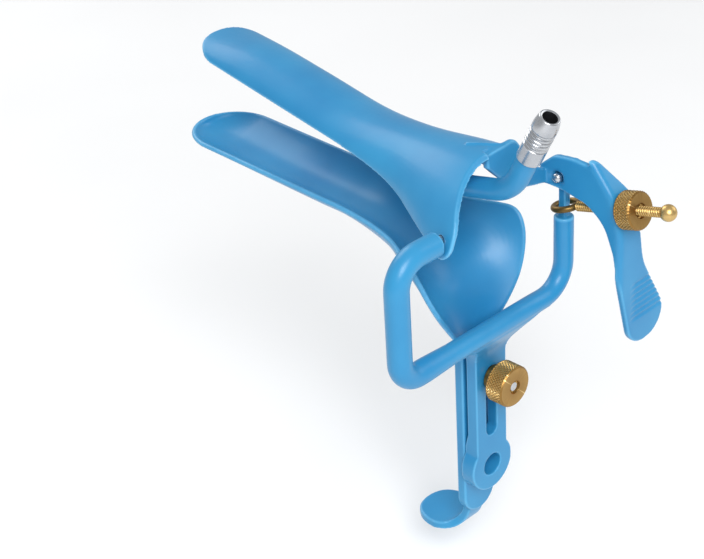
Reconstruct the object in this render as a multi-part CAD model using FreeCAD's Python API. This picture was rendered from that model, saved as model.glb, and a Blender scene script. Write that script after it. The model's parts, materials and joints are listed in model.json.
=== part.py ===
import FreeCAD, Part
import math
import os

from FreeCAD import Placement, Rotation, Vector

# A bivalve speculum with a smoke tube: an upper blade that tilts on the yoke,
# a lower blade whose stem slides down the yoke's slotted arm, two knurled nuts
# that hold them, and a hose nozzle. Every piece is drawn about the middle of
# the blade hinge (X along the hinge towards the lever, Y forward along the
# blades, Z up) and then placed so that the origin is the centre of the hole
# at the foot of the arm.

os.makedirs("parts", exist_ok=True)
doc = FreeCAD.newDocument("Speculum")

# Driving dimensions, in millimetres and degrees
SIZES = {
    # where the hole in the arm is, seen from the hinge
    "hole_drop": 85.7,
    # sheet metal of both blades
    "sheet_thick": 1.4,
    "station_step": 9.0,
    # upper blade
    "upper_half_width": 11.6,
    "upper_crown": 5.6,
    "upper_slope": 11.0,
    "upper_edge_start": -0.5,
    "upper_length": 112.5,
    "mouth_half_width": 24.2,
    "mouth_crown": 15.6,
    "ear_drop": 4.4,
    "ear_radius": 4.6,
    "ear_inset": 4.3,
    # lower blade
    "lower_half_width": 12.7,
    "lower_depth": 6.4,
    "lower_rim_drop": 11.8,
    "lower_rise": 1.8,
    "lower_length": 123.0,
    "tip_round": 13.0,
    "apron_half_width": 22.0,
    # yoke, a bent rod with a forged arm
    "left_bar_out": 39.6,
    "left_rod_radius": 3.45,
    "left_rod_gap": 0.4,
    "lower_bar_drop": 35.9,
    "lower_rod_radius": 3.0,
    "right_bar_out": 27.8,
    "right_rod_radius": 2.9,
    "top_left_bend": 8.0,
    "bottom_left_bend": 6.5,
    "bottom_right_bend": 9.0,
    "strap_thick": 2.5,
    "strap_deep": 2.4,
    "eye_end_radius": 3.1,
    "shoulder_drop": 12.9,
    # slotted arm
    "arm_width": 12.8,
    "arm_front": 3.4,
    "arm_thick": 3.9,
    "arm_fillet": 11.0,
    "slot_width": 4.4,
    "slot_travel": 17.0,
    "stud_drop": 54.6,
    "boss_radius": 8.4,
    "boss_step": 1.0,
    "hole_radius": 3.5,
    # stem and foot of the lower blade
    "stem_gap": 0.3,
    "stem_thick": 3.2,
    "stem_width": 13.0,
    "stem_top_drop": 46.0,
    "stem_low_drop": 103.0,
    "stem_hole_radius": 4.0,
    "foot_radius": 8.6,
    "foot_thick": 2.4,
    "foot_out": 22.2,
    "foot_drop": 113.3,
    "foot_tilt": 1.5,
    # clamp stud and nut
    "stud_radius": 1.3,
    "stud_block_width": 4.2,
    "stud_block_height": 6.0,
    "clamp_nut_radius": 6.25,
    "clamp_nut_thick": 6.0,
    "nut_neck_radius": 3.9,
    "nut_neck_long": 2.6,
    # lever
    "lever_out": 24.4,
    "lever_thick": 2.0,
    "web_back": 3.5,
    "fold_radius": 1.7,
    "lever_seat": 20.3,
    "thumb_drop": 49.2,
    "thumb_round": 7.3,
    # lever screw, nut and ball
    "screw_out": 27.9,
    "eye_back": 0.8,
    "eye_drop": 9.6,
    "eye_radius": 3.9,
    "eye_wire": 0.95,
    "screw_radius": 1.45,
    "screw_tilt": 14.8,
    "screw_long": 35.4,
    "ball_radius": 2.4,
    "lever_nut_radius": 5.45,
    "lever_nut_thick": 5.5,
    "lever_hole_radius": 2.1,
    "nut_gap": 0.5,
    # pins
    "hinge_pin_radius": 1.5,
    "pin_head_rim": 0.9,
    "pin_depth": 7.0,
    "running_gap": 0.05,
    "side_gap": 0.3,
    # smoke tube and nozzle
    "tube_radius": 3.05,
    "tube_wall": 0.45,
    "tube_short": 28.5,
    "tube_low_bend": 26.0,
    "tube_up_bend": 13.0,
    "tube_rise": 12.8,
    "nozzle_back": 10.6,
    "nozzle_up": 18.5,
    "nozzle_tilt": 62.5,
    "nozzle_radius": 3.5,
    "nozzle_tip_radius": 2.9,
    "nozzle_bore": 2.1,
    "nozzle_long": 15.5,
}

sheet = doc.addObject("Spreadsheet::Sheet", "sizes")
for row, (alias, number) in enumerate(SIZES.items(), start=1):
    sheet.set(f"A{row}", alias)
    sheet.set(f"B{row}", str(number))
    sheet.setAlias(f"B{row}", alias)
doc.recompute()


def size(alias):
    """A driving dimension, read from the sheet."""
    return float(getattr(sheet, alias))


SUB_PARTS = []


def register(piece, name):
    """Names a sub-part and carries it from the hinge to the arm's hole."""
    piece.Label = name
    hole_middle = size("arm_front") + (size("arm_thick") + size("boss_step")) / 2
    piece.Placement = Placement(Vector(0, -hole_middle, size("hole_drop")), Rotation())
    SUB_PARTS.append(piece)
    return piece


def solid_piece(name, shape):
    """A sub-part whose shape comes from a curved construction."""
    piece = doc.addObject("Part::Feature", name)
    piece.Shape = shape
    return register(piece, name)


def cylinder_along(start, direction, radius, length):
    """A round bar from a start point along a direction."""
    return Part.makeCylinder(radius, length, start, direction)


def box_between(low, high):
    """A box between two opposite corners."""
    return Part.makeBox(high.x - low.x, high.y - low.y, high.z - low.z, low)


def rounded_prism(corners, radii, normal_axis, start, depth):
    """A polygon with rounded corners in a principal plane, made thick.

    corners are (u, v) pairs: (x, z) for axis Y, (y, z) for X, (x, y) for Z.
    """
    place = {
        "X": lambda u, v: Vector(start, u, v),
        "Y": lambda u, v: Vector(u, start, v),
        "Z": lambda u, v: Vector(u, v, start),
    }[normal_axis]
    push = {"X": Vector(depth, 0, 0), "Y": Vector(0, depth, 0), "Z": Vector(0, 0, depth)}[normal_axis]
    points = [place(u, v) for u, v in corners]
    return Part.Face(rounded_wire(points, radii, closed=True)).extrude(push)


def rounded_wire(points, radii, closed):
    """Straight runs through the points, joined by tangent arcs."""
    count = len(points)
    edges = []
    starts = {}
    ends = {}
    for i in range(count):
        here = points[i]
        if not closed and i in (0, count - 1):
            starts[i] = ends[i] = here
            continue
        back = (points[i - 1] - here).normalize()
        ahead = (points[(i + 1) % count] - here).normalize()
        half = back.getAngle(ahead) / 2
        radius = radii[i] if isinstance(radii, (list, tuple)) else radii
        if radius <= 0:
            starts[i] = ends[i] = here
            continue
        reach = radius / math.tan(half)
        starts[i] = here + back * reach
        ends[i] = here + ahead * reach
        middle_way = (back + ahead).normalize()
        middle = here + middle_way * (radius / math.sin(half) - radius)
        edges.append((i, Part.Arc(starts[i], middle, ends[i]).toShape()))
    arcs = dict(edges)
    ordered = []
    last = count if closed else count - 1
    for i in range(count):
        if i in arcs:
            ordered.append(arcs[i])
        if i < last:
            tail = ends[i]
            head = starts[(i + 1) % count]
            if tail.distanceToPoint(head) > 1e-6:
                ordered.append(Part.LineSegment(tail, head).toShape())
    return Part.Wire(Part.__sortEdges__(ordered))


def arch_points(half_width, edge, middle):
    """Points on half an ellipse across X, from one rim over the middle to the other.

    edge and middle are (y, z) places of the rims and of the middle.
    """
    points = []
    for step in range(-4, 5):
        turn = math.radians(22.5 * step)
        share = 1 - math.cos(turn)
        points.append(Vector(
            half_width * math.sin(turn),
            middle[0] + (edge[0] - middle[0]) * share,
            middle[1] + (edge[1] - middle[1]) * share,
        ))
    return points


def inner_station(half_width, edge, middle, thick):
    """The inner side of a bent sheet: its rims stay, its middle is a sheet nearer."""
    drop = math.dist(edge, middle)
    inward = [m + (e - m) * thick / drop for e, m in zip(edge, middle)]
    return half_width - thick, edge, inward


def even_stations(stations, spacing):
    """Stations at even steps along the curves through the given rims and middles."""
    places = [0.0]
    for before, after in zip(stations, stations[1:]):
        places.append(places[-1] + math.dist(before[2], after[2]))
    rim = Part.BSplineCurve()
    rim.interpolate(Points=[Vector(width, *edge) for width, edge, _ in stations], Parameters=places)
    spine = Part.BSplineCurve()
    spine.interpolate(Points=[Vector(0, *middle) for _, _, middle in stations], Parameters=places)
    count = round(places[-1] / spacing)
    even = []
    for i in range(count + 1):
        place = places[-1] * i / count
        on_rim = rim.value(place)
        on_spine = spine.value(place)
        even.append((on_rim.x, (on_rim.y, on_rim.z), (on_spine.y, on_spine.z)))
    return even


def bent_sheet(stations, thick):
    """A sheet-metal form through (half width, edge, middle) stations."""
    stations = even_stations(stations, size("station_step"))
    outer = Part.BSplineSurface()
    outer.interpolate([arch_points(*station) for station in stations])
    inner = Part.BSplineSurface()
    inner.interpolate([arch_points(*inner_station(*station, thick)) for station in stations])
    faces = [outer.toShape(), inner.toShape()]
    borders = []
    for surface in (outer, inner):
        first_u, last_u, first_v, last_v = surface.bounds()
        borders.append([
            surface.uIso(first_u).toShape(),
            surface.uIso(last_u).toShape(),
            surface.vIso(first_v).toShape(),
            surface.vIso(last_v).toShape(),
        ])
    for outside, inside in zip(*borders):
        faces.append(Part.makeRuledSurface(outside, inside))
    skin = Part.Compound(faces)
    skin.sewShape(0.001)
    solid = Part.Solid(skin.Shells[0])
    if solid.Volume < 0:
        solid.reverse()
    return solid


def left_rod_end():
    """How far out the rod's end lies, beside the mouth's left ear."""
    return size("mouth_half_width") + size("left_rod_gap")


def tongue_outline(wide, slim, tip, tip_round):
    """The room that a blade fills seen from above: wide behind, a round tongue ahead."""
    far = tip - tip_round
    tall = 200.0
    shoulder = Vector(slim, far, -tall / 2)
    round_end = Part.BezierCurve()
    round_end.setPoles([
        shoulder,
        Vector(slim, far + tip_round * 0.72, -tall / 2),
        Vector(slim * 0.62, tip, -tall / 2),
        Vector(0, tip, -tall / 2),
    ])
    half = [
        Part.LineSegment(Vector(0, tip / 2, -tall / 2), Vector(slim, tip / 2, -tall / 2)).toShape(),
        Part.LineSegment(Vector(slim, tip / 2, -tall / 2), shoulder).toShape(),
        round_end.toShape(),
    ]
    other_half = [edge.mirror(Vector(), Vector(1, 0, 0)) for edge in half]
    tongue = Part.Face(Part.Wire(Part.__sortEdges__(half + other_half)))
    back = box_between(Vector(-wide, -30, -tall / 2), Vector(wide, tip / 2 + 1, tall / 2))
    return tongue.extrude(Vector(0, 0, tall)).fuse(back)


def upper_edge_at(forward):
    """Height of the upper blade's straight rims."""
    return size("upper_edge_start") + forward * math.tan(math.radians(size("upper_slope")))


def upper_blade():
    """The hinged blade: a long shallow arch that flares into a tall mouth."""
    thick = size("sheet_thick")
    mouth = size("mouth_half_width")
    slim = size("upper_half_width")
    crown = size("mouth_crown")
    drop = size("ear_drop")
    flare = [
        (-8, mouth + 0.4, -drop - 3.6, crown - 1.4),
        (0, mouth, -drop - 2.6, crown - 0.3),
        (8, mouth - 2.6, -drop, crown + 0.3),
        (16, (mouth + slim) / 2, 0.2, crown + 0.1),
        (26, slim + 2.6, 3.9, crown - 0.5),
        (38, slim + 0.7, 6.8, crown - 0.9),
    ]
    stations = [(width, (y, edge), (y, top)) for y, width, edge, top in flare]
    before_tip = [(60.5, 1), (46.5, 1), (32.5, 1), (18.5, 0.92), (8.5, 0.7), (-4, 0.42)]
    for short, share in before_tip:
        y = size("upper_length") - short
        edge = upper_edge_at(y)
        stations.append((slim, (y, edge), (y, edge + share * size("upper_crown"))))
    sheet_metal = bent_sheet(stations, thick)
    ear = size("ear_radius")
    web_face = size("web_back") + size("lever_thick")
    side_left = [(-ear, -ear), (ear, -ear), (ear + 0.6, -drop * 0.5), (24, 3.0), (24.1, -30),
                 (140, -30), (140, 60), (3.9, 60), (3.9, crown + 0.4), (-ear, 3.4)]
    side_right = [(web_face, -drop * 0.5), (24, 3.0), (24.1, -30), (140, -30), (140, 60), (web_face, 60)]
    round_left = [ear - 0.1, ear - 0.1, 2.4, 0, 0, 0, 0, 0, 2.0, 8.0]
    reach = 40.0
    left = rounded_prism(side_left, round_left, "X", -reach, reach)
    right = rounded_prism(side_right, 0, "X", 0, reach)
    outline = tongue_outline(mouth + 5, slim + 0.2, size("upper_length"), size("tip_round"))
    blade = sheet_metal.common(left.fuse(right)).common(outline)
    pin = size("hinge_pin_radius")
    hole = cylinder_along(Vector(-reach, 0, 0), Vector(1, 0, 0), pin + size("running_gap"), reach)
    return solid_piece("upper_blade", blade.cut(hole))


def lower_blade():
    """The sliding blade: a long trough whose wide apron turns down to the stem."""
    slim = size("lower_half_width")
    wide = size("apron_half_width")
    rim = -size("lower_rim_drop")
    deep = size("lower_depth")
    rise = math.tan(math.radians(size("lower_rise")))
    stem_half = size("stem_width") / 2
    stem_front = size("arm_front") + size("arm_thick") + size("boss_step") + size("stem_gap")
    end = -size("stem_top_drop")
    stations = [
        (wide - 9.0, (stem_front - 0.6, end), (stem_front + 2.0, end)),
        (wide - 7.8, (7.3, -39.2), (11.5, -40.4)),
        (wide - 5.8, (7.1, -31.5), (12.8, -35.3)),
        (wide - 2.8, (7.9, -24.0), (14.6, -30.7)),
        (wide - 0.6, (9.5, -17.3), (17.1, -27.2)),
        (wide, (12.7, -12.9), (20.6, -24.3)),
        (wide - 2.4, (18.2, rim), (24.6, -22.3)),
        (slim + 3.0, (26, rim + 0.5), (30, -20.6)),
        (slim + 0.8, (36, rim + 0.9), (38.5, -18.5)),
    ]
    trough = [(48, 1), (64, 1), (80, 1), (96, 1), (108, 0.86), (118, 0.55)]
    trough.append((size("lower_length") + 4, 0.35))
    for y, share in trough:
        stations.append((slim, (y, rim + y * rise), (y, rim + y * rise - share * deep)))
    sheet_metal = bent_sheet(stations, size("sheet_thick"))
    outline = tongue_outline(wide + 5, slim + 0.2, size("lower_length"), size("tip_round"))
    brow = -38.0
    neck = rounded_prism(
        [(-stem_half, end - 1), (stem_half, end - 1), (stem_half, end + 1.5),
         (stem_half + 7.5, brow), (40, brow + 16), (40, 40), (-40, 40), (-40, brow + 16),
         (-stem_half - 7.5, brow), (-stem_half, end + 1.5)],
        [0, 0, 3, 12, 0, 0, 0, 0, 12, 3], "Y", -20, 200)
    return solid_piece("lower_blade", sheet_metal.common(outline).common(neck))


def rod(points, radii, radius):
    """A round rod bent round the points."""
    path = rounded_wire(points, radii, closed=False)
    along = (points[1] - points[0]).normalize()
    section = Part.Wire(Part.Circle(points[0], along, radius).toShape())
    return path.makePipeShell([section], True, True)


def yoke():
    """The bent rod and its forged, slotted arm, all one piece."""
    left = -size("left_bar_out")
    right = size("right_bar_out")
    low = -size("lower_bar_drop")
    thick_rod = size("left_rod_radius")
    lower_rod = size("lower_rod_radius")
    right_rod = size("right_rod_radius")
    taper_start = left + size("bottom_left_bend") + 3
    taper_end = taper_start + 10
    right_start = right - size("bottom_right_bend") - 1
    taper_right = right_start - 5
    along = Vector(1, 0, 0)
    left_hook = rod(
        [Vector(-left_rod_end(), 0, 0), Vector(left, 0, 0), Vector(left, 0, low),
         Vector(taper_start, 0, low)],
        [0, size("top_left_bend"), size("bottom_left_bend"), 0], thick_rod)
    left_taper = Part.makeCone(thick_rod, lower_rod, taper_end - taper_start,
                               Vector(taper_start, 0, low), along)
    lower_bar = cylinder_along(Vector(taper_end, 0, low), along, lower_rod, taper_right - taper_end)
    right_taper = Part.makeCone(lower_rod, right_rod, right_start - taper_right,
                                Vector(taper_right, 0, low), along)
    right_post = rod(
        [Vector(right_start, 0, low), Vector(right, 0, low), Vector(right, 0, -size("shoulder_drop"))],
        [0, size("bottom_right_bend"), 0], right_rod)
    brow = forged_arm().common(above_weld())
    body = left_hook.fuse([left_taper, lower_bar, right_taper, right_post, strap(), brow])
    for recess in (left_pin_hole(), right_pin_hole()):
        body = body.cut(recess)
    return solid_piece("yoke", body.removeSplitter())


def above_weld():
    """The room above the weld between the yoke's brow and its slotted arm."""
    weld = -size("lower_bar_drop") - size("lower_rod_radius") * 0.72 - size("arm_fillet")
    return box_between(Vector(-60, -30, weld), Vector(60, 30, 20))


def arm():
    """The slotted arm under the yoke's brow, with a round boss at its foot."""
    body = forged_arm().cut(above_weld())
    for recess in (slot(), arm_hole()):
        body = body.cut(recess)
    return solid_piece("arm", body.removeSplitter())


def strap():
    """The narrow half-lapped top of the right post, with an eye for the pivot."""
    inner = size("lever_out") + size("lever_thick") + size("side_gap")
    half = size("strap_deep") / 2
    low = -size("shoulder_drop") - 2.5
    bar = rounded_prism([(-half, low), (half, low), (half, 0), (-half, 0)], 0, "X",
                        inner, size("strap_thick"))
    eye = cylinder_along(Vector(inner, 0, 0), Vector(1, 0, 0), size("eye_end_radius"), size("strap_thick"))
    return bar.fuse(eye)


def forged_arm():
    """The arm's whole forging: a brow flared into the lower bar, a flat arm and a boss."""
    half = size("arm_width") / 2
    front = size("arm_front")
    back = front + size("arm_thick")
    step_back = back + size("boss_step")
    bar = -size("lower_bar_drop")
    hole = -size("hole_drop")
    round_in = size("arm_fillet")
    flare = half + round_in + 2
    brow = bar - size("lower_rod_radius") * 0.72
    outline = rounded_prism(
        [(-flare, bar), (flare, bar), (flare, brow), (half, brow), (half, hole), (-half, hole),
         (-half, brow), (-flare, brow)],
        [0, 0, 0, round_in, 0, 0, round_in, 0], "Y", -5, 20)
    shin = brow - round_in
    side = rounded_prism(
        [(-2.0, bar), (-2.6, brow), (front, shin + 3), (front, hole), (step_back, hole),
         (step_back, hole + 8), (back, hole + 12), (back, brow - 7), (2.6, bar)],
        [0, 3, 8.5, 0, 0, 0, 0, 6, 0], "X", -flare, 2 * flare)
    boss = cylinder_along(Vector(0, front, hole), Vector(0, 1, 0), size("boss_radius"), step_back - front)
    return outline.common(side).fuse(boss)


def slot():
    """The long slot that the clamp stud runs in."""
    half = size("slot_width") / 2
    top = -size("stud_drop") + half + size("side_gap")
    bottom = -size("stud_drop") - size("slot_travel") - half - size("side_gap")
    block_half = size("stud_block_height") / 2 - half
    corners = [(-half, bottom - block_half), (half, bottom - block_half),
               (half, top + block_half), (-half, top + block_half)]
    return rounded_prism(corners, half * 0.98, "Y", -10, 30)


def arm_hole():
    """The through hole in the boss."""
    return cylinder_along(Vector(0, -5, -size("hole_drop")), Vector(0, 1, 0), size("hole_radius"), 20)


def left_pin_hole():
    """The blind hole for the hinge pin in the end of the rod."""
    start = Vector(-left_rod_end() - size("pin_depth"), 0, 0)
    return cylinder_along(start, Vector(1, 0, 0), size("hinge_pin_radius"), 8)


def right_pin_hole():
    """The hole for the pivot rivet in the strap."""
    start = Vector(size("lever_out"), 0, 0)
    return cylinder_along(start, Vector(1, 0, 0), size("hinge_pin_radius"), 10)


def hinge_pin():
    """The headed pin that the left ear swings on."""
    radius = size("hinge_pin_radius")
    end = -left_rod_end()
    head = size("ear_inset") - size("mouth_half_width")
    depth = size("pin_depth")
    shank = cylinder_along(Vector(end - depth, 0, 0), Vector(1, 0, 0), radius, head - end + depth)
    rim = size("pin_head_rim")
    cap = Part.makeCone(radius + rim, radius, rim, Vector(head, 0, 0), Vector(1, 0, 0))
    return solid_piece("hinge_pin", shank.fuse(cap).removeSplitter())


def pivot_rivet():
    """The rivet through the strap and the lever, domed in the lever's countersink."""
    radius = size("hinge_pin_radius")
    face = size("lever_out")
    outer = face + size("lever_thick") + size("side_gap") + size("strap_thick")
    shank = cylinder_along(Vector(face + 0.2, 0, 0), Vector(1, 0, 0), radius, outer - face - 0.2)
    dome = Part.makeSphere(radius, Vector(face + 0.5, 0, 0)).common(
        box_between(Vector(face - 2, -3, -3), Vector(face + 0.5, 3, 3)))
    head = Part.makeCone(radius + 0.8, radius, 0.7, Vector(outer, 0, 0), Vector(1, 0, 0))
    return solid_piece("pivot_rivet", shank.fuse([dome, head]).removeSplitter())


def stem():
    """The lower blade's flat stem, with a hole and a round thumb foot bent forward."""
    half = size("stem_width") / 2
    front = size("arm_front") + size("arm_thick") + size("boss_step") + size("stem_gap")
    thick = size("stem_thick")
    top = -size("stem_top_drop")
    low = -size("stem_low_drop")
    plate = rounded_prism([(-half, low), (half, low), (half, top), (-half, top)],
                          [5.0, 5.0, 0, 0], "Y", front, thick)
    foot_thick = size("foot_thick")
    foot_y = size("foot_out")
    foot_z = -size("foot_drop")
    reach = foot_y + size("foot_radius")
    fall = math.tan(math.radians(size("foot_tilt")))
    toe = foot_z - fall * size("foot_radius")
    heel = foot_z + fall * (foot_y - front)
    side = rounded_prism(
        [(front, low + 8), (front, heel), (reach, toe), (reach, toe + foot_thick),
         (front + thick, heel + foot_thick), (front + thick, low + 8)],
        [0, 6.5, 0, 0, 3.8, 0], "X", -12, 24)
    neck = box_between(Vector(-5.4, front - 1, foot_z - 10), Vector(5.4, foot_y, low + 9))
    disc = cylinder_along(Vector(0, foot_y, foot_z - 10), Vector(0, 0, 1), size("foot_radius"), 25)
    foot = side.common(neck.fuse(disc))
    body = plate.fuse(foot)
    hole = cylinder_along(Vector(0, 0, -size("hole_drop")), Vector(0, 1, 0), size("stem_hole_radius"), 20)
    stud_hole = cylinder_along(Vector(0, 0, -size("stud_drop")), Vector(0, 1, 0), size("stud_radius"), 20)
    return solid_piece("stem", body.cut(hole).cut(stud_hole).removeSplitter())


def clamp_stud():
    """The steel stud on the stem, with the flat-sided block that slides in the slot."""
    stem_front = size("arm_front") + size("arm_thick") + size("boss_step") + size("stem_gap")
    stem_back = stem_front + size("stem_thick")
    nut_face = size("arm_front") - size("side_gap") - size("nut_neck_long") - size("clamp_nut_thick")
    tip = nut_face + 0.5
    height = -size("stud_drop")
    shank = cylinder_along(Vector(0, tip, height), Vector(0, 1, 0), size("stud_radius"), stem_back - tip)
    half = size("stud_block_width") / 2
    tall = size("stud_block_height") / 2
    block = rounded_prism([(-half, height - tall), (half, height - tall), (half, height + tall),
                           (-half, height + tall)], half * 0.95, "Y",
                          size("arm_front") + 0.4, stem_front - size("arm_front") - 0.4)
    return solid_piece("clamp_stud", shank.fuse(block).removeSplitter())


def clamp_nut():
    """The knurled nut that clamps the stem to the arm."""
    neck_start = size("arm_front") - size("side_gap")
    height = -size("stud_drop")
    back = Vector(0, -1, 0)
    neck = cylinder_along(Vector(0, neck_start, height), back, size("nut_neck_radius"),
                          size("nut_neck_long") + 1)
    wheel_start = Vector(0, neck_start - size("nut_neck_long"), height)
    wheel = cylinder_along(wheel_start, back, size("clamp_nut_radius"), size("clamp_nut_thick"))
    wheel = wheel.makeChamfer(0.45, [e for e in wheel.Edges if isinstance(e.Curve, Part.Circle)])
    bore = cylinder_along(Vector(0, neck_start + 1, height), back,
                          size("stud_radius") + size("running_gap"), 20)
    return solid_piece("clamp_nut", wheel.fuse(neck).cut(bore).removeSplitter())


def lever():
    """The lever: a pressed plate on the pivot that folds round into a thumb tongue."""
    face = size("lever_out")
    thick = size("lever_thick")
    low = -size("thumb_drop")
    start, along = screw_line()
    seat = start + along * size("lever_seat")
    upright = Vector(0, along.z, -along.y)
    upper = seat + upright * 4.2
    lower = seat - upright * 8.0
    top = upper.y + 7.6
    outer = [(top, 9), (upper.y, upper.z), (lower.y, lower.z), (lower.y, low - 6)]
    inner = [(y + thick, z) for y, z in reversed(outer)]
    bends = [0, 12, 20, 0]
    side_band = rounded_prism(outer + inner, bends + [0, 18, 10, 0], "X", face, 40)
    behind = rounded_prism(outer + [(20, low - 6), (20, 9)], bends + [0, 0], "X", face, thick)
    tip_round = size("thumb_round")
    tongue = rounded_prism(
        [(face, 8.4), (face, -25), (30.9, low - 0.4), (49.9, low + 1.0), (35.2, -22.6), (32.8, -8),
         (33.6, -3), (26.8, 8.4)],
        [0, 20, tip_round, tip_round, 20, 10, 7, 2], "Y", lower.y - 10, 40)
    plate = rounded_prism(
        [(6.6, -2.7), (6.2, 2.4), (1.2, 6.6), (-5.5, 7.4), (top, 6.8), (lower.y - 2, 6.8),
         (lower.y - 2, -25), (-21.0, -25), (-19.6, -17.5), (-16.3, -9.3), (-10.2, -4.9), (-1.9, -3.3)],
        [2.0, 2.4, 4.0, 14, 0, 0, 0, 0, 10, 12, 10, 10], "X", face, thick)
    body = side_band.common(tongue).fuse(plate.common(behind)).removeSplitter()
    body = body.makeFillet(size("fold_radius"), fold_edges(body, face))
    hole = cylinder_along(Vector(face - 1, 0, 0), Vector(1, 0, 0),
                          size("hinge_pin_radius") + size("running_gap"), 5)
    sink = cylinder_along(Vector(face, 0, 0), Vector(1, 0, 0), size("hinge_pin_radius") + 0.9, 0.7)
    passage = cylinder_along(start + along * 9, along, size("lever_hole_radius"), 16)
    return solid_piece("lever", body.cut(hole).cut(sink).cut(passage))


def fold_edges(body, face):
    """The outer edges where the lever's side plate folds into its front band."""
    found = []
    for edge in body.Edges:
        middle = edge.valueAt((edge.FirstParameter + edge.LastParameter) / 2)
        in_plane = all(abs(corner.X - face) < 0.001 for corner in edge.Vertexes)
        if in_plane and edge.Length > 2 and body.isInside(middle + Vector(4, 0.4, 0), 0.01, True):
            found.append(edge)
    return found


def screw_line():
    """Where the lever screw starts, in its eye, and which way it points."""
    tilt = math.radians(size("screw_tilt"))
    start = Vector(size("screw_out"), -size("eye_back"), -size("eye_drop"))
    return start, Vector(0, -math.cos(tilt), math.sin(tilt))


def lever_web():
    """The brazed web that joins the upper blade's mouth to the lever."""
    back = size("web_back")
    corners = [(0.1, 11.0), (0.1, 15.0), (11.5, 15.6), (20.0, 4.2), (size("lever_out"), 1.6),
               (size("lever_out"), -2.6), (14.0, -0.2), (8.0, 3.5), (3.9, 7.3)]
    plate = rounded_prism(corners, [0, 0, 3.0, 6.0, 0, 0, 10, 6, 6], "Y", back, size("lever_thick"))
    return solid_piece("lever_web", plate)


def lever_screw():
    """The screw with its eye looped round the strap."""
    start, along = screw_line()
    wire = size("eye_wire")
    axis = Vector(0, along.z, -along.y)
    eye = Part.makeTorus(size("eye_radius"), wire, start, axis)
    shank_start = start + along * (size("eye_radius") + wire * 0.2)
    shank = cylinder_along(shank_start, along, size("screw_radius"),
                           size("screw_long") - size("ball_radius") * 0.86 - size("eye_radius") - wire * 0.2)
    return solid_piece("lever_screw", eye.fuse(shank).removeSplitter())


def screw_ball():
    """The ball on the screw's free end, which keeps the nut on."""
    start, along = screw_line()
    ball = Part.makeSphere(size("ball_radius"), start + along * size("screw_long"))
    shank = cylinder_along(start, along, size("screw_radius"),
                           size("screw_long") - size("ball_radius") * 0.86)
    return solid_piece("screw_ball", ball.cut(shank))


def lever_nut():
    """The knurled nut on the lever screw, which sets how far the blades open."""
    start, along = screw_line()
    seat = size("lever_seat") + size("nut_gap")
    wheel = cylinder_along(start + along * seat, along, size("lever_nut_radius"), size("lever_nut_thick"))
    wheel = wheel.makeChamfer(0.45, [e for e in wheel.Edges if isinstance(e.Curve, Part.Circle)])
    bore = cylinder_along(start, along, size("screw_radius") + size("running_gap"), 40)
    return solid_piece("lever_nut", wheel.cut(bore))


def nozzle_line():
    """Where the nozzle starts, at the end of the smoke tube, and which way it points."""
    tilt = math.radians(size("nozzle_tilt"))
    start = Vector(0, -size("nozzle_back"), size("nozzle_up"))
    return start, Vector(0, -math.cos(tilt), math.sin(tilt))


def smoke_tube():
    """The tube that lies under the upper blade's crown and bends up to the nozzle."""
    radius = size("tube_radius")
    slope = math.tan(math.radians(size("upper_slope")))
    under = size("upper_crown") - size("sheet_thick") - radius - size("side_gap")
    far = size("upper_length") - size("tube_short")
    start, along = nozzle_line()
    knee = start - along * size("tube_rise")
    low = 14.0
    points = [
        Vector(0, far, upper_edge_at(far) + under),
        Vector(0, low, size("upper_edge_start") + slope * low + under),
        knee,
        start,
    ]
    bends = [0, size("tube_low_bend"), size("tube_up_bend"), 0]
    tube = rod(points, bends, radius).cut(rod(points, bends, radius - size("tube_wall")))
    return solid_piece("smoke_tube", tube)


def hose_nozzle():
    """The turned steel nozzle, ringed with grooves, that a suction hose pushes onto."""
    radius = size("nozzle_radius")
    tip = size("nozzle_tip_radius")
    bore = size("nozzle_bore")
    length = size("nozzle_long")
    shoulder = length * 0.72
    start, along = nozzle_line()
    profile = [(bore, 0), (radius, 0)]
    for i in range(5):
        edge = length * 0.32 + i * 1.25
        profile += [(radius, edge), (radius - 0.4, edge + 0.25)]
        profile += [(radius - 0.4, edge + 0.6), (radius, edge + 0.85)]
    profile += [(radius, shoulder), (tip, length), (bore, length)]
    points = [start + Vector(out, 0, 0) + along * up for out, up in profile]
    outline = Part.Face(Part.makePolygon(points + points[:1]))
    return solid_piece("hose_nozzle", outline.revolve(start, along, 360))


BUILDERS = [
    yoke, arm, hinge_pin, pivot_rivet, upper_blade, lever_web, lever, smoke_tube, hose_nozzle,
    lower_blade, stem, clamp_stud, clamp_nut, lever_screw, screw_ball, lever_nut,
]
for build in BUILDERS:
    build()
doc.recompute()

for piece in doc.Objects:
    if "Invalid" in piece.State or "Error" in piece.State:
        raise RuntimeError(f"{piece.Label} did not compute")
for piece in SUB_PARTS:
    if piece.Shape.isNull() or not piece.Shape.isValid() or not piece.Shape.Solids:
        raise RuntimeError(f"{piece.Label} has no sound solid")
for piece in SUB_PARTS:
    piece.Shape.exportStep(f"parts/{piece.Label}.step")
    print(piece.Label, len(piece.Shape.Solids), round(piece.Shape.Volume, 1))
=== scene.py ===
import json
import math

import bmesh
import bpy
import numpy as np
from mathutils import Matrix, Vector


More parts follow.
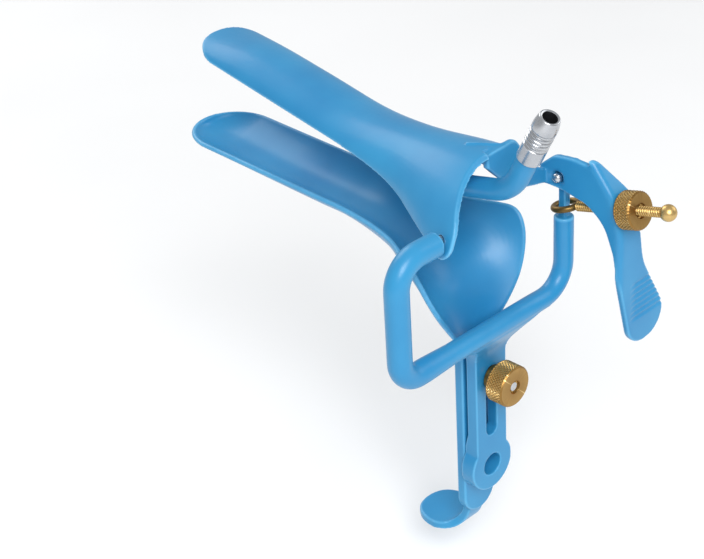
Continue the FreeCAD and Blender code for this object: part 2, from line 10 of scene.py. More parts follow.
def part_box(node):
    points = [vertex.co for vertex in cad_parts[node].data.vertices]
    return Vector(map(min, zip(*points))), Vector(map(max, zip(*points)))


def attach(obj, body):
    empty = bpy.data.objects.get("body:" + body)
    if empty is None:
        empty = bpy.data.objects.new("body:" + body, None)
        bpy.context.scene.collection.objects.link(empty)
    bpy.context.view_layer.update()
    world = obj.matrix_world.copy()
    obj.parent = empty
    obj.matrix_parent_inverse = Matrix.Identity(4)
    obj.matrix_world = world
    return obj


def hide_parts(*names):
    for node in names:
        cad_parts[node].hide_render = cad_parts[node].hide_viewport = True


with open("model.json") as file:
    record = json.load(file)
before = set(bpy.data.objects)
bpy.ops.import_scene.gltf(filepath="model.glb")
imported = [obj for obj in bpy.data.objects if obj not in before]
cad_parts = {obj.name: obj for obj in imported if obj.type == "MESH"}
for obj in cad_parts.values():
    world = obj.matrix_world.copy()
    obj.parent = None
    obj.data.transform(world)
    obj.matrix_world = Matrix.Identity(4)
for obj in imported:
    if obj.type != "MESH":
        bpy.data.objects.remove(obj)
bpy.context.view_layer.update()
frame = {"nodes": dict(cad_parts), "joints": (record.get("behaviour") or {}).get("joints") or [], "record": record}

MM = 0.001

# Where the mechanism's lines are, read from the frame
JOINTS = {joint["name"]: joint for joint in frame["joints"]}
MOUNTS = {mount["name"]: mount for mount in frame["record"]["mounts"]}
HINGE = Vector(JOINTS["blade_hinge"]["pos_m"])
SCREW_EYE = Vector(JOINTS["screw_swing"]["pos_m"])
SCREW_WAY = Vector(JOINTS["lever_nut_travel"]["axis"]).normalized()
CLAMP_POINT = Vector(JOINTS["clamp_nut_spin"]["pos_m"])
CLAMP_WAY = Vector(JOINTS["clamp_nut_spin"]["axis"]).normalized()
NOZZLE_WAY = Vector(MOUNTS["hose_nozzle_bore"]["axis"]).normalized()


def reach(node, origin, way):
    """How far a node reaches along a line, from its nearest to its furthest point."""
    steps = [(vertex.co - origin).dot(way) for vertex in frame["nodes"][node].data.vertices]
    return min(steps), max(steps)


def spread(node, origin, way):
    """The largest distance of a node's points from a line."""
    widest = 0.0
    for vertex in frame["nodes"][node].data.vertices:
        out = vertex.co - origin
        widest = max(widest, (out - way * out.dot(way)).length)
    return widest


# Camera, at the photograph's place: angles and distances from the hinge
CAMERA_AZIMUTH = 42.67
CAMERA_ELEVATION = 29.97
CAMERA_ROLL = -3.70
CAMERA_DISTANCE = 435.71 * MM
CAMERA_ASIDE = 39.10 * MM
CAMERA_BELOW = 18.58 * MM
LENS = 83.33


def add_camera():
    """The camera that sees the object as the photograph does."""
    azimuth = math.radians(CAMERA_AZIMUTH)
    elevation = math.radians(CAMERA_ELEVATION)
    roll = math.radians(CAMERA_ROLL)
    toward = Vector((
        -math.sin(azimuth) * math.cos(elevation),
        -math.cos(azimuth) * math.cos(elevation),
        math.sin(elevation),
    ))
    level = Vector((0, 0, 1)).cross(toward).normalized()
    upright = toward.cross(level)
    right = level * math.cos(roll) + upright * math.sin(roll)
    up = upright * math.cos(roll) - level * math.sin(roll)
    data = bpy.data.cameras.new("camera")
    data.lens = LENS
    data.sensor_width = 36
    camera = bpy.data.objects.new("camera", data)
    place = HINGE + toward * CAMERA_DISTANCE - right * CAMERA_ASIDE - up * CAMERA_BELOW
    turn = Matrix((right, up, toward)).transposed().to_4x4()
    camera.matrix_world = Matrix.Translation(place) @ turn
    bpy.context.scene.collection.objects.link(camera)
    bpy.context.scene.camera = camera


def add_lamp(name, place, target, size, power):
    """A square soft lamp that looks at a target."""
    data = bpy.data.lights.new(name, "AREA")
    data.size = size
    data.energy = power
    lamp = bpy.data.objects.new(name, data)
    lamp.location = place
    lamp.rotation_euler = (target - place).to_track_quat("-Z", "Y").to_euler()
    bpy.context.scene.collection.objects.link(lamp)


class Nodes:
    """A short way to write a material's node tree."""

    def __init__(self, name):
        self.material = bpy.data.materials.new(name)
        self.material.use_nodes = True
        self.tree = self.material.node_tree
        self.tree.nodes.clear()

    def add(self, kind, **inputs):
        """A node with its inputs set or linked by name."""
        node = self.tree.nodes.new(kind)
        for key, value in inputs.items():
            self.put(node, key, value)
        return node

    def put(self, node, key, value):
        """Sets or links one input, found by its name or its number."""
        if isinstance(value, bpy.types.NodeSocket):
            self.tree.links.new(value, node.inputs[key])
        else:
            node.inputs[key].default_value = value

    def place(self):
        """Where a point is on its piece."""
        return self.add("ShaderNodeTexCoord").outputs["Object"]

    def noise(self, scale, detail, **inputs):
        """A cloudy pattern from 0 to 1."""
        return self.add("ShaderNodeTexNoise", Scale=scale, Detail=detail, **inputs).outputs["Fac"]

    def attribute(self, name):
        """A value stored at the points of a mesh."""
        node = self.add("ShaderNodeAttribute")
        node.attribute_name = name
        return node.outputs["Fac"]

    def ramp(self, source, stops):
        """A colour ramp between stops of (place, colour)."""
        node = self.add("ShaderNodeValToRGB", Fac=source)
        while len(node.color_ramp.elements) < len(stops):
            node.color_ramp.elements.new(0.5)
        for element, (place, colour) in zip(node.color_ramp.elements, stops):
            element.position = place
            element.color = (*colour, 1)
        return node.outputs["Color"]

    def grey(self, source, stops):
        """A ramp of plain numbers."""
        return self.ramp(source, [(place, (value, value, value)) for place, value in stops])

    def mix(self, share, first, second, blend="MIX"):
        """Two colours mixed or blended; the node numbers its colour inputs 6 and 7."""
        node = self.tree.nodes.new("ShaderNodeMix")
        node.data_type = "RGBA"
        node.blend_type = blend
        for number, value in ((0, share), (6, first), (7, second)):
            self.put(node, number, value)
        return node.outputs[2]

    def between(self, source, low, high):
        """A value of 0 to 1 laid out between two others."""
        node = self.add("ShaderNodeMapRange", Value=source)
        self.put(node, "To Min", low)
        self.put(node, "To Max", high)
        return node.outputs["Result"]

    def bump(self, height, strength, distance):
        """A surface that is uneven by a height, up to a distance."""
        node = self.add("ShaderNodeBump", Height=height, Strength=strength, Distance=distance)
        return node.outputs["Normal"]

    def surface(self, inputs):
        """Ends the tree in a surface shader with these inputs."""
        shader = self.add("ShaderNodeBsdfPrincipled")
        for key, value in inputs.items():
            self.put(shader, key, value)
        node = self.add("ShaderNodeOutputMaterial")
        self.put(node, "Surface", shader.outputs["BSDF"])
        return self.material


def linear(red, green, blue):
    """A colour given as it looks, 0 to 255, as the linear one that shaders use."""
    def channel(value):
        share = value / 255
        return share / 12.92 if share <= 0.04045 else ((share + 0.055) / 1.055) ** 2.4
    return channel(red), channel(green), channel(blue)


BLUE_DEEP = linear(38, 128, 180)
BLUE_MID = linear(50, 143, 192)
# a light blue painted on the rims as their highlight
BLUE_RIM_HIGHLIGHT = linear(112, 190, 230)
BRASS_DARK = linear(150, 112, 58)
BRASS_MID = linear(206, 170, 104)
BRASS_LIGHT = linear(236, 208, 150)
STEEL_DULL = linear(176, 179, 184)
STEEL_BRIGHT = linear(204, 206, 209)
# painted shade for the inside of a bore
BORE_SHADE_BLACK = linear(30, 31, 34)
BORE_SHADE_GREY = linear(52, 53, 57)


def coat_material():
    """Blue nylon dip coat: satin, lighter on the edges with a painted highlight."""
    tree = Nodes("blue_coat")
    place = tree.place()
    drift = tree.noise(38.0, 3.0, Vector=place, Roughness=0.5)
    peel = tree.noise(900.0, 2.0, Vector=place, Roughness=0.55)
    body = tree.ramp(drift, [(0.3, BLUE_DEEP), (0.7, BLUE_MID)])
    # painted highlight: where crest marks a bulging rim, the blue is lightened toward the rim colour
    edge = tree.grey(tree.attribute("crest"), [(0.25, 0.0), (0.85, 1.0)])
    return tree.surface({
        "Base Color": tree.mix(edge, body, (*BLUE_RIM_HIGHLIGHT, 1)),
        "Roughness": tree.between(peel, 0.30, 0.42),
        "Normal": tree.bump(peel, 0.10, 0.0001),
        "Specular IOR Level": 0.36,
        "Coat Weight": 0.14,
        "Coat Roughness": 0.20,
    })


def brass_material(name, brushed, depth):
    """Bare brass, lighter on crests and darker in the cuts; depth darkens it all."""
    tree = Nodes(name)
    place = tree.place()
    tarnish = tree.noise(260.0, 4.0, Vector=place, Roughness=0.6)
    fine = tree.noise(2600.0, 2.0, Vector=place, Roughness=0.6)
    pointed = tree.add("ShaderNodeNewGeometry").outputs["Pointiness"]
    crest = tree.ramp(pointed, [(0.44, BRASS_DARK), (0.50, BRASS_MID), (0.56, BRASS_LIGHT)])
    shade = tree.grey(tarnish, [(0.3, 0.82 * depth), (0.7, depth)])
    return tree.surface({
        "Base Color": tree.mix(1.0, crest, shade, "MULTIPLY"),
        "Metallic": 0.92,
        "Roughness": tree.between(fine, 0.20 + brushed, 0.34 + brushed),
        "Normal": tree.bump(fine, 0.12, 0.00004),
    })


def steel_material(name):
    """Turned, polished steel with faint lathe marks."""
    tree = Nodes(name)
    place = tree.place()
    marks = tree.noise(1500.0, 3.0, Vector=place, Roughness=0.6)
    cloud = tree.noise(180.0, 2.0, Vector=place)
    return tree.surface({
        "Base Color": tree.ramp(cloud, [(0.3, STEEL_DULL), (0.7, STEEL_BRIGHT)]),
        "Metallic": 1.0,
        "Roughness": tree.between(marks, 0.20, 0.32),
        "Normal": tree.bump(marks, 0.04, 0.00002),
    })


def bore_shade_material(name):
    """Painted shade for the inside of a drilled hole: near black, with a faint random cloud."""
    tree = Nodes(name)
    cloud = tree.noise(400.0, 2.0, Vector=tree.place())
    return tree.surface({
        "Base Color": tree.ramp(cloud, [(0.3, BORE_SHADE_BLACK), (0.7, BORE_SHADE_GREY)]),
        "Metallic": 0.6,
        "Roughness": 0.55,
    })


def paper_material(name):
    """The studio floor's pale matt paper."""
    tree = Nodes(name)
    cloud = tree.noise(40.0, 2.0)
    return tree.surface({"Base Color": tree.grey(cloud, [(0.3, 0.90), (0.7, 0.93)]), "Roughness": 0.9})


def dress(piece, material, crease=None):
    """Gives a piece one material and smooth shading, but crisp edges over the crease angle."""
    piece.data.materials.clear()
    piece.data.materials.append(material)
    piece.data.polygons.foreach_set("use_smooth", [True] * len(piece.data.polygons))
    if crease:
        piece.data.set_sharp_from_angle(angle=math.radians(crease))
    return piece


def settle(piece, body, slot, *nodes):
    """A piece rides a body and stands for its nodes, which are hidden; its slot is not used."""
    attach(piece, body)
    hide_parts(*nodes)


def new_piece(name, vertices, faces):
    """A mesh object in the scene."""
    mesh = bpy.data.meshes.new(name)
    mesh.from_pydata([tuple(vertex) for vertex in vertices], [], faces)
    mesh.update()
    piece = bpy.data.objects.new(name, mesh)
    bpy.context.scene.collection.objects.link(piece)
    return piece


def formed_piece(name, form):
    """A mesh object in the scene from a finished form."""
    mesh = bpy.data.meshes.new(name)
    form.to_mesh(mesh)
    form.free()
    piece = bpy.data.objects.new(name, mesh)
    bpy.context.scene.collection.objects.link(piece)
    return piece


def ring_faces(ring, following, points):
    """The faces that join two rings of points, given by the numbers of their first points."""
    faces = []
    for point in range(points):
        after = (point + 1) % points
        faces.append((ring + point, following + point, following + after, ring + after))
    return faces


def apply_modifiers(piece):
    """Replaces a piece's mesh by what its modifiers make of it."""
    graph = bpy.context.evaluated_depsgraph_get()
    mesh = bpy.data.meshes.new_from_object(piece.evaluated_get(graph))
    piece.modifiers.clear()
    old = piece.data
    piece.data = mesh
    bpy.data.meshes.remove(old)
    return piece


def add_smoothing(piece, rounds, group=""):
    """A modifier that evens out a piece's points, or a group of them."""
    smooth = piece.modifiers.new("smooth", "SMOOTH")
    smooth.factor = 0.5
    smooth.iterations = rounds
    smooth.vertex_group = group


COAT_VOXEL = 0.30 * MM
COAT_SMOOTHING = 8
CREST_SMOOTHING = 10
CREST_FULL = 0.16     # how far out of its neighbours' plane a full crest's point lies, as a slope


def mark_crests(skin):
    """Stores how strongly each point of a skin bulges, from 0 on flats to 1 on rims."""
    mesh = skin.data
    count = len(mesh.vertices)
    place = np.empty(count * 3, dtype=np.float32)
    facing = np.empty(count * 3, dtype=np.float32)
    ends = np.empty(len(mesh.edges) * 2, dtype=np.int32)
    mesh.vertices.foreach_get("co", place)
    mesh.vertices.foreach_get("normal", facing)
    mesh.edges.foreach_get("vertices", ends)
    place = place.reshape(-1, 3)
    facing = facing.reshape(-1, 3)
    first, second = ends[0::2], ends[1::2]
    way = place[first] - place[second]
    way /= np.maximum(np.linalg.norm(way, axis=1), 1e-9)[:, None]
    edges_at = np.bincount(first, minlength=count) + np.bincount(second, minlength=count)
    edges_at = np.maximum(edges_at, 1)
    bulge = np.bincount(first, (facing[first] * way).sum(axis=1), count)
    bulge -= np.bincount(second, (facing[second] * way).sum(axis=1), count)
    bulge /= edges_at
    for _ in range(CREST_SMOOTHING):
        around = np.bincount(first, bulge[second], count)
        around += np.bincount(second, bulge[first], count)
        bulge = 0.5 * bulge + 0.5 * around / edges_at
    crest = np.clip(bulge / CREST_FULL, 0.0, 1.0).astype(np.float32)
    mesh.attributes.new("crest", "FLOAT", "POINT").data.foreach_set("value", crest)


def flowing(stations, steps):
    """Rows of values that pass smoothly through the given stations."""
    rows = []
    last = len(stations) - 1
    for index in range(last):
        near = (stations[max(index - 1, 0)], stations[index], stations[index + 1],
                stations[min(index + 2, last)])
        for step in range(steps):
            t = step / steps
            rows.append([
                b + 0.5 * t * (c - a + t * (2 * a - 5 * b + 4 * c - d + t * (3 * (b - c) + d - a)))
                for a, b, c, d in zip(*near)
            ])
    rows.append(list(stations[last]))
    return rows


def sheet_piece(name, stations, thick):
    """A sheet of metal bent to arcs.

    Each station is a half width, the edges' y and z, and the middle's y and z, in mm from the hinge.
    """
    across = 28        # faces from edge to edge
    rows_each = 8      # rows from station to station
    least = 0.02       # keeps the arc of a narrow or flat station from having no size
    vertices = []
    for half, edge_y, edge_z, middle_y, middle_z in flowing(stations, rows_each):
        deep = max(math.hypot(edge_y - middle_y, edge_z - middle_z), least)
        half = max(half, least)
        half_angle = 2 * math.atan2(deep, half)
        arc = half / math.sin(half_angle)
        for step in range(across + 1):
            angle = half_angle * (2 * step / across - 1)
            share = (1 - math.cos(angle)) / (1 - math.cos(half_angle))
            vertices.append(HINGE + MM * Vector((
                arc * math.sin(angle),
                middle_y + (edge_y - middle_y) * share,
                middle_z + (edge_z - middle_z) * share,
            )))
    faces = []
    for row in range(len(vertices) // (across + 1) - 1):
        for step in range(across):
            corner = row * (across + 1) + step
            faces.append((corner, corner + 1, corner + across + 2, corner + across + 1))
    piece = new_piece(name, vertices, faces)
    solid = piece.modifiers.new("thick", "SOLIDIFY")
    solid.thickness = thick * MM
    solid.offset = 0.0
    return apply_modifiers(piece)


def bead_piece(name, points, radius):
    """A round bead along a path, closed at both ends."""
    around = 10
    off_all_paths = Vector((0.36, 0.48, 0.8))
    vertices = []
    for index, point in enumerate(points):
        way = (points[min(index + 1, len(points) - 1)] - points[max(index - 1, 0)]).normalized()
        aside = way.cross(off_all_paths).normalized()
        upward = way.cross(aside)
        for step in range(around):
            turn = 2 * math.pi * step / around
            vertices.append(point + (aside * math.cos(turn) + upward * math.sin(turn)) * radius)
    last_ring = len(vertices) - around
    faces = [tuple(range(around)), tuple(reversed(range(last_ring, len(vertices))))]
    for ring in range(0, last_ring, around):
        faces += ring_faces(ring, ring + around, around)
    return new_piece(name, vertices, faces)


def soften(skin, beyond, rounds):
    """Rounds the skin's edges further where x is beyond a place."""
    group = skin.vertex_groups.new(name="soft")
    chosen = [vertex.index for vertex in skin.data.vertices if vertex.co.x > beyond]
    group.add(chosen, 1.0, "REPLACE")
    add_smoothing(skin, rounds, "soft")
    apply_modifiers(skin)


def coat_skin(name, nodes, pieces=(), cut_below=None):
    """One dipped skin over nodes and pieces that are brazed together, with its edges rounded."""
    form = bmesh.new()
    for node in nodes:
        form.from_mesh(frame["nodes"][node].data)
    if cut_below is not None:
        parts = form.verts[:] + form.edges[:] + form.faces[:]
        bmesh.ops.bisect_plane(
            form, geom=parts, plane_co=cut_below, plane_no=Vector((0, 0, -1)), clear_outer=True)
        bmesh.ops.holes_fill(form, edges=[edge for edge in form.edges if edge.is_boundary])
    for piece in pieces:
        form.from_mesh(piece.data)
        bpy.data.objects.remove(piece)
    skin = formed_piece(name, form)
    remesh = skin.modifiers.new("remesh", "REMESH")
    remesh.mode = "VOXEL"
    remesh.voxel_size = COAT_VOXEL
    remesh.use_smooth_shade = True
    add_smoothing(skin, COAT_SMOOTHING)
    return apply_modifiers(skin)


def turned(name, start, way, profile, segments, relief=None):
    """A turned form: a closed profile of (along, radius), turned round a line.

    relief(along, turn, radius) gives a ring point's radius where it is cut.
    """
    aside = way.orthogonal().normalized()
    upward = way.cross(aside)
    vertices = []
    for along, radius in profile:
        for step in range(segments):
            turn = 2 * math.pi * step / segments
            out = relief(along, turn, radius) if relief else radius
            outward = aside * math.cos(turn) + upward * math.sin(turn)
            vertices.append(start + way * along + outward * out)
    faces = []
    rings = len(profile)
    for ring in range(rings):
        faces += ring_faces(ring * segments, (ring + 1) % rings * segments, segments)
    return new_piece(name, vertices, faces)


def triangle_wave(value):
    """Goes from 0 up to 1 and back once in each unit."""
    return 1 - abs((value % 1.0) * 2 - 1)


def knurled_nut(name, start, way, low, high, radius, bore, ridges):
    """A nut with diamond knurling round its rim, plain chamfers and flat faces."""
    chamfer = 0.45 * MM
    crisp = 0.08 * MM              # a narrow ring that keeps the face flat up to its edge
    mouth_in = 0.25 * MM           # how much wider than the bore the near mouth's ring is
    sink_out = 0.70 * MM           # the countersink in the far face
    sink_in = 0.55 * MM
    sink_floor = 0.9 * MM
    sink_end = 1.3 * MM
    depth = 0.42 * MM
    stretch = 1.25                 # a diamond's length for its width
    flat_tops = 1.45
    run_in = 0.15 * MM             # the cuts grow to full depth over this length
    run_in_start = 0.35
    pitch = 2 * math.pi * radius / ridges
    steps = 44
    rim_low = low + chamfer
    rim_high = high - chamfer
    face_edge = radius - chamfer
    profile = [(low, bore), (low, bore + mouth_in), (low, face_edge - crisp), (low, face_edge)]
    for step in range(steps + 1):
        profile.append((rim_low + (rim_high - rim_low) * step / steps, radius))
    profile += [(high, face_edge), (high, face_edge - crisp), (high, bore + sink_out)]
    profile += [(high - sink_floor, bore + sink_in), (high - sink_end, bore)]

    def cut(along, turn, out):
        if out < radius:
            return out
        around = turn * ridges / (2 * math.pi)
        slant = (along - low) / (pitch * stretch)
        crest = min(triangle_wave(around + slant), triangle_wave(around - slant))
        edge = min(along - rim_low, rim_high - along) / run_in
        return out - depth * (1 - min(1.0, crest * flat_tops)) * min(1.0, run_in_start + edge)

    return turned(name, start, way, profile, ridges * 8, cut)


CLOSED = 0.0001 * MM      # the radius of a rod's closed ends


def threaded_rod(name, start, way, low, high, radius, pitch, depth):
    """A screw thread between two places on a line, closed at both ends."""
    rings_each = 9                 # rings to one turn of the thread
    segments = 40
    flat_tops = 1.25
    steps = int((high - low) / (pitch / rings_each))
    profile = [(low, CLOSED)]
    for step in range(steps + 1):
        profile.append((low + (high - low) * step / steps, radius))
    profile.append((high, CLOSED))

    def cut(along, turn, out):
        if out < radius:
            return out
        ridge = triangle_wave((along - low) / pitch - turn / (2 * math.pi))
        return out - depth * (1 - min(1.0, ridge * flat_tops))

    return turned(name, start, way, profile, segments, cut)


def ring_eye(name, centre, way, ring, wire):
    """The screw's eye: a ring of thick wire that lies in the plane of the screw and of X."""
    across = Vector((1, 0, 0))
    side = way.cross(across).normalized()
    rounds = 72
    points = 24
    vertices = []
    faces = []
    for step in range(rounds):
        turn = 2 * math.pi * step / rounds
        out = across * math.cos(turn) + way * math.sin(turn)
        for point in range(points):
            swing = 2 * math.pi * point / points
            reached = out * (ring + wire * math.cos(swing))
            vertices.append(centre + reached + side * (wire * math.sin(swing)))
        faces += ring_faces(step * points, (step + 1) % rounds * points, points)
    return new_piece(name, vertices, faces)


def nozzle_piece(name, centre, way, half, radius, bore):
    """The turned nozzle: five rounded grooves, then a bulging taper to its open tip."""
    grooves = 5
    grooves_start = 0.34           # the share of the length before the first groove
    groove_pitch = 1.2 * MM
    groove_depth = 0.34 * MM
    groove_roundness = 0.8
    taper_gap = 0.3                # in groove pitches
    taper_bulge = 1.8
    tip = radius * 0.84
    chamfer = 0.3 * MM
    body_start = 0.35 * MM
    steps = 150
    lip = 0.45 * MM
    lip_steps = 6
    mouth_ring = 0.2 * MM          # the bore's mouth: a slightly wider ring, then its straight part
    mouth_wider = 0.04 * MM
    mouth_end = 0.6 * MM
    segments = 96
    groove_from = -half + grooves_start * 2 * half
    taper_from = groove_from + (grooves + taper_gap) * groove_pitch
    low = -half + body_start
    high = half - lip
    profile = [(-half, bore), (-half, radius - chamfer), (-half + chamfer, radius)]
    for step in range(steps + 1):
        along = low + (high - low) * step / steps
        out = radius
        count = (along - groove_from) / groove_pitch
        if 0 <= count <= grooves:
            out -= groove_depth * math.sin(math.pi * (count % 1.0)) ** groove_roundness
        if along > taper_from:
            out -= (radius - tip) * ((along - taper_from) / (high - taper_from)) ** taper_bulge
        profile.append((along, out))
    for step in range(1, lip_steps + 1):
        turn = math.pi / 2 * step / lip_steps
        profile.append((high + lip * math.sin(turn), tip - lip * (1 - math.cos(turn))))
    profile += [(half - mouth_ring, bore + mouth_wider), (half - mouth_end, bore)]
    return turned(name, centre, way, profile, segments)


def ball_piece(name, centre, radius):
    """A smooth ball."""
    form = bmesh.new()
    bmesh.ops.create_uvsphere(form, u_segments=48, v_segments=32, radius=radius)
    form.transform(Matrix.Translation(centre))
    return formed_piece(name, form)


# The ridged outer half of the lever's thumb pad
THUMB_LOW = HINGE.z - 41.0 * MM
THUMB_HIGH = HINGE.z - 28.0 * MM
THUMB_INNER = HINGE.x + 29.5 * MM
THUMB_RUN_IN = 3.0 * MM
THUMB_THICK = 4.5 * MM
THUMB_DEPTH = 0.42 * MM
THUMB_GROOVES = 7
THUMB_FACING = -0.6


def carve_thumb_ridges(skin):
    """Seven level grooves across the outer half of the thumb pad, cut into its front."""
    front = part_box("lever")[0].y
    for vertex in skin.data.vertices:
        point = vertex.co
        share = (point.z - THUMB_LOW) / (THUMB_HIGH - THUMB_LOW)
        behind = vertex.normal.y > THUMB_FACING or point.y > front + THUMB_THICK
        if behind or not 0 < share < 1:
            continue
        inside = min(1.0, max(0.0, (point.x - THUMB_INNER) / THUMB_RUN_IN))
        dip = 0.5 - 0.5 * math.cos(2 * math.pi * share * THUMB_GROOVES)
        vertex.co.y += THUMB_DEPTH * dip * inside
    skin.data.update()


coat = coat_material()
brass = brass_material("brass_turned", 0.10, 1.0)
bronze = brass_material("bronze_aged", 0.14, 0.42)
bore_shade = bore_shade_material("bore_painted_shade")
steel = steel_material("steel_turned")

# Every CAD node wears its own finish, shown or not
STEEL_NODES = ("hinge_pin", "pivot_rivet", "clamp_stud", "hose_nozzle")
BRASS_NODES = ("clamp_nut", "lever_nut", "lever_screw", "screw_ball")
for name, node in frame["nodes"].items():
    finish = steel if name in STEEL_NODES else brass if name in BRASS_NODES else coat
    node.data.materials.clear()
    node.data.materials.append(finish)

yoke_skin = coat_skin("yoke_coat", ["yoke", "arm"])
mark_crests(yoke_skin)
settle(dress(yoke_skin, coat), "yoke", "coated_steel", "yoke", "arm")

# The upper blade, with a raised lip along the web's upper edge and a softly rounded lever
WEB_LIP = (
    (0.4, 11.6, 15.9), (1.6, 10.0, 15.9), (7.2, 5.0, 15.0), (10.4, 4.3, 15.2), (11.6, 4.3, 14.6),
)
WEB_LIP_RADIUS = 0.62 * MM
LEVER_FROM = HINGE.x + 21 * MM
LEVER_SOFTENING = 9
web_lip = bead_piece("web_lip", [HINGE + Vector(place) * MM for place in WEB_LIP], WEB_LIP_RADIUS)
upper_skin = coat_skin("upper_coat", ["upper_blade", "lever_web", "lever"], [web_lip])
soften(upper_skin, LEVER_FROM, LEVER_SOFTENING)
carve_thumb_ridges(upper_skin)
mark_crests(upper_skin)
settle(dress(upper_skin, coat), "upper_blade", "coated_steel", "upper_blade", "lever_web", "lever")

# The lower blade's trough ends in a closed spoon tip, and its apron runs down over the stem
SHEET_THICK = 1.5
RIM_BEAD = 0.82 * MM
SLIM = 12.5                # half the width of the slim part
DEEP = 6.0                 # the trough's depth where the slim part starts
TIP_DEEP = 0.72            # the share of that depth where the tip's rounding starts
TROUGH_START = 48
TROUGH_LENGTH = 60
TROUGH_STEP = 10
TIP = 122.1
TIP_ROUND = 14.0
TIP_BOWL = 0.8             # how soon the bowl gets shallow toward the tip
RISE = math.tan(math.radians(1.8))
RIM = -12.0
STEM_Y = 9.9


def trough_station(half, y, sink):
    """A station of the slim trough, whose rim rises evenly toward the tip."""
    rim = RIM + y * RISE
    return half, y, rim, y, rim - sink


blade_stations = [
    (5.9, STEM_Y, -50.0, STEM_Y + 0.3, -50.0),
    (6.1, STEM_Y, -45.5, STEM_Y + 0.9, -45.6),
    (8.2, 8.8, -41.0, 11.4, -41.6),
    (12.2, 7.9, -35.8, 12.2, -37.8),
    (16.4, 7.5, -29.6, 13.3, -33.6),
    (19.5, 8.2, -23.2, 14.9, -29.8),
    (21.4, 9.8, -17.2, 17.2, -26.8),
    (21.7, 12.9, -13.0, 20.6, -24.2),
    (19.6, 18.0, RIM, 24.6, -22.2),
    (15.8, 26.0, -11.6, 30.0, -20.4),
    (13.6, 36.0, -11.0, 38.5, -18.4),
]
for y in range(TROUGH_START, TROUGH_START + TROUGH_LENGTH, TROUGH_STEP):
    shallower = (1 - TIP_DEEP) * ((y - TROUGH_START) / TROUGH_LENGTH) ** 2
    blade_stations.append(trough_station(SLIM, y, DEEP * (1 - shallower)))
for angle in range(0, 91, 10):
    y = TIP - TIP_ROUND * (1 - math.sin(math.radians(angle)))
    narrow = math.cos(math.radians(angle))
    blade_stations.append(trough_station(SLIM * narrow, y, DEEP * TIP_DEEP * narrow ** TIP_BOWL))
blade_sheet = sheet_piece("blade_sheet", blade_stations, SHEET_THICK)
RIM_STATIONS = blade_stations[2:]       # the beads fade out above the stem
RIM_STEPS = 3
rim_line = [
    HINGE + MM * Vector((half, edge_y, edge_z))
    for half, edge_y, edge_z, _, _ in flowing(RIM_STATIONS, RIM_STEPS)
]
left_line = [Vector((2 * HINGE.x - point.x, point.y, point.z)) for point in rim_line]
rims = [bead_piece("rim_right", rim_line, RIM_BEAD), bead_piece("rim_left", left_line, RIM_BEAD)]

# The stem's round end, and the thumb foot that bends forward from it: half width, y and z
STEM_END = Vector((HINGE.x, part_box("stem")[0].y, HINGE.z - 98.0 * MM))
LOBE_RADIUS = 6.5 * MM
LOBE_THICK = 3.2 * MM
LOBE_MIDDLE = 0.01 * MM
ROUND_SEGMENTS = 64
lobe_profile = [
    (0, LOBE_MIDDLE), (0, LOBE_RADIUS), (LOBE_THICK, LOBE_RADIUS), (LOBE_THICK, LOBE_MIDDLE),
]
lobe = turned("lobe", STEM_END, Vector((0, 1, 0)), lobe_profile, ROUND_SEGMENTS)
FOOT_THICK = 2.5
foot_line = [
    (3.4, 10.3, -92.0), (3.4, 10.5, -97.0), (3.3, 10.9, -102.0), (3.4, 12.0, -106.4),
    (4.0, 13.8, -109.6), (5.6, 15.6, -111.3), (7.4, 17.6, -111.9), (8.4, 20.0, -112.1),
    (8.5, 22.2, -112.2), (8.2, 24.6, -112.2), (7.2, 27.0, -112.2), (5.2, 29.2, -112.2),
    (2.6, 30.3, -112.2), (0.4, 30.6, -112.2),
]
foot = sheet_piece("foot", [(half, y, z, y, z) for half, y, z in foot_line], FOOT_THICK)
lower_skin = coat_skin("lower_coat", ["stem"], rims + [blade_sheet, lobe, foot], STEM_END)
mark_crests(lower_skin)
settle(dress(lower_skin, coat), "lower_blade", "coated_steel", "lower_blade", "stem")

# The clamp nut: a knurled wheel on a plain neck
BRASS_CREASE = 30
CLAMP_BORE = 1.36 * MM
CLAMP_WHEEL = 6.0 * MM
CLAMP_RIDGES = 42
NECK_RADIUS = 3.9 * MM
NECK_CHAMFER = 0.3 * MM
NECK_LAP = 0.1 * MM
clamp_low, clamp_high = reach("clamp_nut", CLAMP_POINT, CLAMP_WAY)
clamp_rim = spread("clamp_nut", CLAMP_POINT, CLAMP_WAY)
wheel_low = clamp_high - CLAMP_WHEEL
neck_high = wheel_low + NECK_LAP
clamp_wheel = knurled_nut(
    "clamp_wheel", CLAMP_POINT, CLAMP_WAY, wheel_low, clamp_high, clamp_rim, CLAMP_BORE, CLAMP_RIDGES)
settle(dress(clamp_wheel, brass, BRASS_CREASE), "clamp_nut", "brass", "clamp_nut")
neck_profile = [
    (clamp_low, CLAMP_BORE), (clamp_low, NECK_RADIUS - NECK_CHAMFER),
    (clamp_low + NECK_CHAMFER, NECK_RADIUS), (neck_high, NECK_RADIUS), (neck_high, CLAMP_BORE),
]
clamp_neck = turned("clamp_neck", CLAMP_POINT, CLAMP_WAY, neck_profile, ROUND_SEGMENTS)
settle(dress(clamp_neck, brass, BRASS_CREASE), "clamp_nut", "brass", "clamp_nut")

# The lever's nut
NUT_BORE = 1.5 * MM
NUT_RIDGES = 37
nut_low, nut_high = reach("lever_nut", SCREW_EYE, SCREW_WAY)
nut_rim = spread("lever_nut", SCREW_EYE, SCREW_WAY)
lever_wheel = knurled_nut(
    "lever_wheel", SCREW_EYE, SCREW_WAY, nut_low, nut_high, nut_rim, NUT_BORE, NUT_RIDGES)
settle(dress(lever_wheel, brass, BRASS_CREASE), "lever_nut", "brass", "lever_nut")

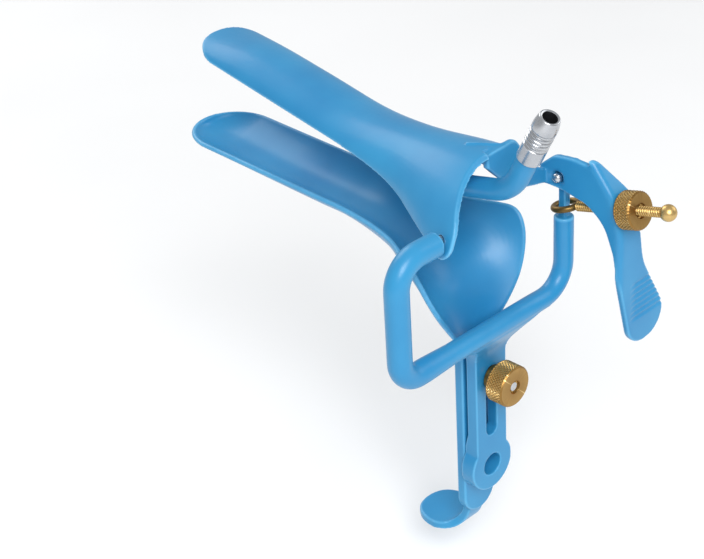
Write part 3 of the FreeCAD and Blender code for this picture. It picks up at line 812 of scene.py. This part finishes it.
# The screw: its thread, its darker eye and the ball on its end
THREAD_START = 4.1 * MM
THREAD_RADIUS = 1.45 * MM
THREAD_PITCH = 0.75 * MM
THREAD_DEPTH = 0.38 * MM
EYE_RING = 3.6 * MM
EYE_WIRE = 0.95 * MM
BALL_RADIUS = 2.38 * MM
BALL_INSET = 2.4 * MM
screw_end = reach("lever_screw", SCREW_EYE, SCREW_WAY)[1]
thread = threaded_rod(
    "screw_thread", SCREW_EYE, SCREW_WAY, THREAD_START, screw_end,
    THREAD_RADIUS, THREAD_PITCH, THREAD_DEPTH)
settle(dress(thread, brass), "lever_screw", "brass", "lever_screw")
eye = ring_eye("screw_eye", SCREW_EYE, SCREW_WAY, EYE_RING, EYE_WIRE)
settle(dress(eye, bronze), "lever_screw", "brass", "lever_screw")
ball_end = reach("screw_ball", SCREW_EYE, SCREW_WAY)[1]
ball = ball_piece("screw_knob", SCREW_EYE + SCREW_WAY * (ball_end - BALL_INSET), BALL_RADIUS)
settle(dress(ball, brass), "lever_screw", "brass", "screw_ball")

# The hose nozzle, its bore painted near black as shade
NOZZLE_BORE = 2.1 * MM
BORE_MARGIN = 0.02 * MM
STEEL_CREASE = 40
bore_middle = Vector(MOUNTS["hose_nozzle_bore"]["pos_m"])
nozzle_half = reach("hose_nozzle", bore_middle, NOZZLE_WAY)[1]
nozzle_rim = spread("hose_nozzle", bore_middle, NOZZLE_WAY)
nozzle = nozzle_piece(
    "nozzle_turned", bore_middle, NOZZLE_WAY, nozzle_half, nozzle_rim, NOZZLE_BORE)
settle(dress(nozzle, steel, STEEL_CREASE), "upper_blade", "polished_steel", "hose_nozzle")
nozzle.data.materials.append(bore_shade)
# the faces inside the bore take the painted shade
for face in nozzle.data.polygons:
    out = face.center - bore_middle
    if (out - NOZZLE_WAY * out.dot(NOZZLE_WAY)).length < NOZZLE_BORE + BORE_MARGIN:
        face.material_index = 1

# The studio: a pale floor below the stem's lowest place, a pale sky and three soft lamps
STEM_TRAVEL = 17 * MM
FLOOR_GAP = 0.5 * MM
FLOOR_SIZE = 6
SKY_COLOUR = (0.96, 0.98, 1.0, 1)
SKY_STRENGTH = 0.50
AIM = HINGE + Vector((0, 0.02, -0.02))
LAMPS = (      # name, place from the point it looks at, width and power
    ("key", (-0.45, -0.58, 0.60), 0.5, 7.6),
    ("fill", (0.75, -0.35, 0.45), 0.6, 1.8),
    ("back", (0.1, 0.8, 0.6), 0.6, 3.2),
)
floor_top = min(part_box(name)[0].z for name in frame["nodes"]) - STEM_TRAVEL - FLOOR_GAP
bpy.ops.mesh.primitive_plane_add(size=FLOOR_SIZE, location=(0, 0, floor_top))
floor = bpy.context.object
floor.name = "floor"
floor.data.materials.append(paper_material("paper"))

world = bpy.data.worlds.new("studio")
world.use_nodes = True
sky = world.node_tree.nodes["Background"]
sky.inputs["Color"].default_value = SKY_COLOUR
sky.inputs["Strength"].default_value = SKY_STRENGTH
bpy.context.scene.world = world
for name, offset, width, power in LAMPS:
    add_lamp(name, AIM + Vector(offset), AIM, width, power)
add_camera()
bpy.context.scene.view_settings.view_transform = "Standard"
